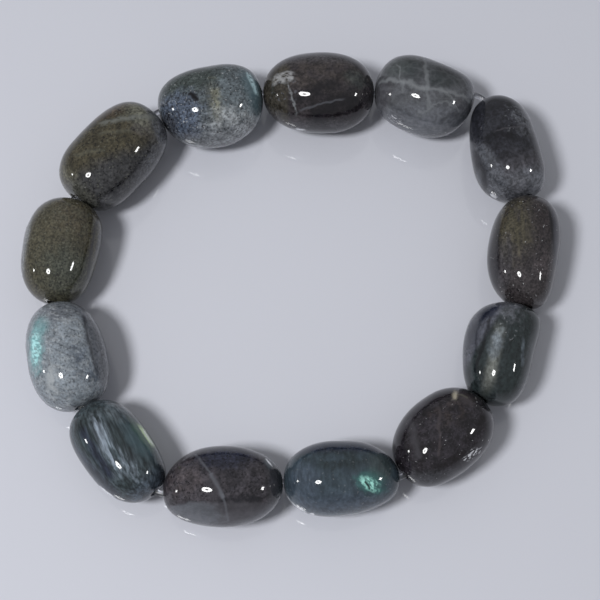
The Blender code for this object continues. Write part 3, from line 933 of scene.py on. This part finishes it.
def mark_bead_13(stone):
    """Olive and purple-grey, speckled, with a pale crease near its leading end."""
    stone.tint(SMOKE, stone.beyond((-0.4, -0.92, 0.0), 2.3, soft=1.0, ragged=0.8) * 0.8)
    stone.tint(DUSK, stone.patch((5.0, -1.8), (4.4, 3.6)) * 0.5)
    stone.tint(RUST, stone.patch((3.6, 2.6), (5.4, 2.4), turn=-30.0) * 0.6)
    stone.tint(PEWTER, stone.beyond((0.3, -1.0, 0.0), 4.6, soft=0.8, ragged=0.3) * 0.5)
    stone.tint(TAN, stone.patch((5.5, -0.2), (3.4, 4.2), soft=0.7) * 0.85)
    stone.tint(PEWTER, stone.beyond((1.0, -0.5, 0.0), 5.8) * 0.7)
    stone.tint(PEWTER, stone.beyond(OUTER, 4.3, ragged=0.2) * 0.4)
    stone.tint(TAN, stone.beyond((-1.0, 0.2, 0.0), 6.0, soft=0.8) * 0.3)
    stone.mottle(1.2, 0.3, turn=60.0, stretch=2.5, **ROUGH)
    stone.mottle(0.35, 0.4)
    stone.specks(INK, 0.35, 0.60, 0.7)
    stone.specks(TAN, 0.3, 0.65, 0.6)
    worn = stone.cloud(0.6, 0.4, detail=4.0)
    stone.tint(HUSK, worn * stone.vein((0.4, 2.9), (4.6, -0.5), 0.6, 0.25, soft=1.0) * 0.75)
    crease = stone.vein((4.0, -0.1), (6.9, -1.9), 0.6, 0.25, taper=0.1, soft=1.0)
    stone.tint(HUSK, worn * crease * 0.75)
    stone.tint(TAN, stone.vein((-4.6, 2.4), (-1.4, -1.0), 0.5, 0.3, soft=1.0) * 0.25)
    stone.tint(TAN, stone.vein((-0.6, 1.8), (3.0, -1.6), 0.5, 0.3, soft=1.0) * 0.25)
    stone.tint(INK, stone.cloud(0.5, 0.48) * stone.patch((-4.0, -4.2), (1.6, 0.9), ragged=0.9) * 0.9)
    stone.tint(INK, stone.cloud(0.5, 0.50) * stone.patch((1.9, -3.4), (3.4, 1.6), ragged=0.9) * 0.25)
    stone.clear_up(stone.beyond((0.3, -1.0, 0.0), 5.0, ragged=0.2) * 0.15)


MARKINGS = (
    mark_bead_01,
    mark_bead_02,
    mark_bead_03,
    mark_bead_04,
    mark_bead_05,
    mark_bead_06,
    mark_bead_07,
    mark_bead_08,
    mark_bead_09,
    mark_bead_10,
    mark_bead_11,
    mark_bead_12,
    mark_bead_13,
)


def make_bead(index, scene):
    """One stone, in place of its plain solid in the frame."""
    sizes = scene.bracelet_sizes
    name = bead_name(index)
    centre, half_length = bead_place(index, sizes.bead_gap)
    mesh, rise = bead_mesh(index, half_length, sizes)
    piece = bpy.data.objects.new(f"{name}_polished", mesh)
    turn = math.atan2(heading(index).y, heading(index).x)
    piece.matrix_world = Matrix.Translation((centre.x, centre.y, rise)) @ Matrix.Rotation(turn, 4, "Z")
    scene.collection.objects.link(piece)
    ground = tuple(getattr(scene.bracelet_grounds, name))
    stone = Stone(f"{name}_labradorite", ground, index + 1)
    MARKINGS[index](stone)
    mesh.materials.append(stone.polished(scene.bracelet_finish))
    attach(piece, BODY)
    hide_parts(name)


def elastic_points(heights):
    """The elastic's middle line: straight inside each bead, with one smooth bend at each joint."""
    points = []
    for index in range(len(BEADS)):
        before = heading(index)
        after = heading(index + 1)
        half_turn = before.angle(after) / 2
        bend = CORD_BEND_RADIUS * math.sin(half_turn) / math.cos(half_turn) ** 2
        bend = max(bend, CORD_SHORTEST_BEND)
        corner = joint(index)
        enter = corner - before * bend
        leave = corner + after * bend
        low = heights[index]
        high = heights[(index + 1) % len(BEADS)]
        for step in range(CORD_STEPS_PER_BEND + 1):
            t = step / CORD_STEPS_PER_BEND
            spot = enter * (1 - t) ** 2 + corner * 2 * t * (1 - t) + leave * t ** 2
            ease = t * t * (3 - 2 * t)
            points.append(Vector((spot.x, spot.y, low + (high - low) * ease)))
    return points


def elastic_material(finish):
    """Clear elastic, faintly cloudy."""
    material = bpy.data.materials.new("clear_elastic_strand")
    tree = Tree(material)
    place = tree.node("ShaderNodeTexCoord", output=3)
    values = {"Vector": place, "Scale": ELASTIC_CLOUDS_PER_METRE, "Detail": 2.0}
    cloudy = tree.node("ShaderNodeTexNoise", None, values)
    looks = {
        "Base Color": tuple(finish.elastic_colour),
        "Roughness": ELASTIC_ROUGHNESS + cloudy * ELASTIC_CLOUDS,
        "IOR": ELASTIC_IOR,
        "Transmission Weight": 1.0,
    }
    surface = tree.node("ShaderNodeBsdfPrincipled", None, looks)
    tree.node("ShaderNodeOutputMaterial", None, {"Surface": surface})
    return material


def flat_mesh(name, segments, *radii):
    """A flat round sheet, or with two radii a flat ring."""
    form = bmesh.new()
    sheet = len(radii) == 1
    for radius in radii:
        bmesh.ops.create_circle(form, cap_ends=sheet, segments=segments, radius=radius)
    if not sheet:
        bmesh.ops.bridge_loops(form, edges=form.edges)
    mesh = bpy.data.meshes.new(name)
    form.to_mesh(mesh)
    form.free()
    return mesh


def floor_material(look):
    """Smooth pale card under a thin glossy coat."""
    material = bpy.data.materials.new("pale_floor")
    tree = Tree(material)
    place = tree.node("ShaderNodeTexCoord", output=3)
    values = {"Vector": place, "Scale": FIBRES_PER_METRE, "Detail": 3.0}
    fibres = tree.node("ShaderNodeTexNoise", None, values)
    tone = tuple(look.floor_colour)
    darker = tuple(FIBRE_TONE * part for part in tone)
    looks = {
        "Base Color": tree.mix(fibres * FIBRE_STRENGTH, tone, darker),
        "Roughness": FLOOR_ROUGHNESS,
        "Coat Weight": look.floor_gloss,
        "Coat Roughness": COAT_ROUGHNESS,
        "Coat IOR": COAT_IOR,
    }
    surface = tree.node("ShaderNodeBsdfPrincipled", None, looks)
    tree.node("ShaderNodeOutputMaterial", None, {"Surface": surface})
    return material


def make_floor(look):
    mesh = flat_mesh("floor", FLOOR_SEGMENTS, FLOOR_RADIUS)
    mesh.materials.append(floor_material(look))
    floor = bpy.data.objects.new("floor", mesh)
    bpy.context.scene.collection.objects.link(floor)
    return floor


def glow_material(strength):
    """A plain white glow."""
    material = bpy.data.materials.new("ring_lamp_glow")
    tree = Tree(material)
    glow = tree.node("ShaderNodeEmission", None, {"Color": (1.0, 1.0, 1.0), "Strength": strength})
    tree.node("ShaderNodeOutputMaterial", None, {"Surface": glow})
    return material


def stand_off(lamp, way, distance=LAMP_DISTANCE):
    """Stands a lamp off in a direction, with its face to the bracelet."""
    way = way.normalized()
    lamp.location = way * distance
    lamp.rotation_euler = way.to_track_quat("Z", "Y").to_euler()
    lamp.visible_camera = False
    bpy.context.scene.collection.objects.link(lamp)


def make_ring_lamp(look):
    """A ring lamp that shows only in the polish."""
    mesh = flat_mesh("ring_lamp", RING_LAMP_SEGMENTS, look.ring_outer, look.ring_inner)
    mesh.materials.append(glow_material(look.ring_light))
    lamp = bpy.data.objects.new("ring_lamp", mesh)
    lamp.visible_diffuse = False
    stand_off(lamp, RING_LAMP_WAY)


def make_panel_lamp(name, way, width, height, radiance, floor):
    """A panel lamp for the stones alone: the glossy floor would mirror it as a white square."""
    light = bpy.data.lights.new(name, "AREA")
    light.shape = "RECTANGLE"
    light.size = width
    light.size_y = height
    light.energy = radiance * math.pi * width * height
    lamp = bpy.data.objects.new(name, light)
    stand_off(lamp, way)
    unlit = bpy.data.collections.new(f"{name}_unlit")
    unlit.objects.link(floor)
    unlit.collection_objects[0].light_linking.link_state = "EXCLUDE"
    lamp.light_linking.receiver_collection = unlit


def make_shadow_lamp(look):
    """A soft round lamp that nothing mirrors."""
    light = bpy.data.lights.new("soft_lamp", "AREA")
    light.shape = "DISK"
    light.size = 2 * look.shadow_radius
    light.energy = look.shadow_light * math.pi * math.pi * look.shadow_radius ** 2
    lamp = bpy.data.objects.new("soft_lamp", light)
    lamp.visible_glossy = False
    stand_off(lamp, SHADOW_LAMP_WAY, SOFT_LAMP_DISTANCE)


def make_sky(look):
    """Soft light from all round, stronger from overhead."""
    world = bpy.data.worlds.new("soft_light")
    tree = Tree(world)
    way = tree.node("ShaderNodeTexCoord")
    height = way.parts()[2]
    strength = height.rise(0.0, 1.0) * (look.sky_top - look.sky_edge) + look.sky_edge
    background = tree.node(
        "ShaderNodeBackground", None, {"Color": tuple(look.sky_colour), "Strength": strength}
    )
    tree.node("ShaderNodeOutputWorld", None, {"Surface": background})
    bpy.context.scene.world = world


def make_camera():
    data = bpy.data.cameras.new("camera")
    data.lens = LENS
    data.sensor_width = SENSOR
    data.clip_start = CLIP_START
    data.clip_end = CLIP_END
    camera = bpy.data.objects.new("camera", data)
    back = Vector((0.0, -math.sin(CAMERA_TILT), math.cos(CAMERA_TILT)))
    camera.location = AIM + back * CAMERA_DISTANCE
    camera.rotation_euler = (CAMERA_TILT, 0.0, 0.0)
    bpy.context.scene.collection.objects.link(camera)
    bpy.context.scene.camera = camera


class BRACELET_OT_stage(bpy.types.Operator):
    """Make the floor, the light and the camera"""

    bl_idname = "bracelet.stage"
    bl_label = "Stage"

    def execute(self, context):
        look = context.scene.bracelet_stage
        floor = make_floor(look)
        make_ring_lamp(look)
        make_shadow_lamp(look)
        side = (look.side_width, look.side_height, look.side_light)
        low = (look.low_width, look.low_height, look.low_light)
        make_panel_lamp("side_panel", SIDE_PANEL_WAY, *side, floor)
        make_panel_lamp("low_panel", LOW_PANEL_WAY, *low, floor)
        make_sky(look)
        make_camera()
        context.scene.view_settings.view_transform = "Standard"
        return {"FINISHED"}


class BRACELET_OT_beads(bpy.types.Operator):
    """Make the thirteen polished stones"""

    bl_idname = "bracelet.beads"
    bl_label = "Beads"

    def execute(self, context):
        for index in range(len(BEADS)):
            make_bead(index, context.scene)
        return {"FINISHED"}


class BRACELET_OT_elastic(bpy.types.Operator):
    """Thread the clear elastic through the stones"""

    bl_idname = "bracelet.elastic"
    bl_label = "Elastic"

    def execute(self, context):
        scene = context.scene
        strand = bpy.data.curves.new("elastic_strand", "CURVE")
        strand.dimensions = "3D"
        strand.bevel_depth = scene.bracelet_sizes.elastic_diameter / 2
        strand.bevel_resolution = CORD_BEVEL_RESOLUTION
        heights = [scene.objects[f"{bead_name(index)}_polished"].location.z for index in range(len(BEADS))]
        points = elastic_points(heights)
        spline = strand.splines.new("POLY")
        spline.points.add(len(points) - 1)
        for target, point in zip(spline.points, points):
            target.co = (*point, 1.0)
        spline.use_cyclic_u = True
        spline.use_smooth = True
        strand.materials.append(elastic_material(scene.bracelet_finish))
        piece = bpy.data.objects.new("elastic_strand", strand)
        scene.collection.objects.link(piece)
        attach(piece, BODY)
        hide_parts("elastic_cord")
        return {"FINISHED"}


class BRACELET_PT_parts(bpy.types.Panel):
    """The steps and the settings of the bracelet"""

    bl_idname = "BRACELET_PT_parts"
    bl_label = "Bead Bracelet"
    bl_space_type = "VIEW_3D"
    bl_region_type = "UI"
    bl_category = "Bracelet"

    def draw(self, context):
        for operator in OPERATORS:
            self.layout.operator(operator.bl_idname)
        for name in SETTINGS:
            group = getattr(context.scene, name)
            box = self.layout.box()
            for prop in group.__annotations__:
                box.prop(group, prop)


OPERATORS = (BRACELET_OT_stage, BRACELET_OT_beads, BRACELET_OT_elastic)
SETTINGS = {
    "bracelet_sizes": BraceletSizes,
    "bracelet_finish": StoneFinish,
    "bracelet_grounds": GroundColours,
    "bracelet_stage": StageLook,
}
CLASSES = (*SETTINGS.values(), *OPERATORS, BRACELET_PT_parts)


def register():
    for cls in CLASSES:
        bpy.utils.register_class(cls)
    for name, group in SETTINGS.items():
        setattr(bpy.types.Scene, name, PointerProperty(type=group))


def unregister():
    for name in SETTINGS:
        delattr(bpy.types.Scene, name)
    for cls in reversed(CLASSES):
        bpy.utils.unregister_class(cls)


def main():
    register()
    bpy.ops.bracelet.stage()
    bpy.ops.bracelet.beads()
    bpy.ops.bracelet.elastic()
    bpy.context.view_layer.update()


if __name__ == "__main__":
    main()
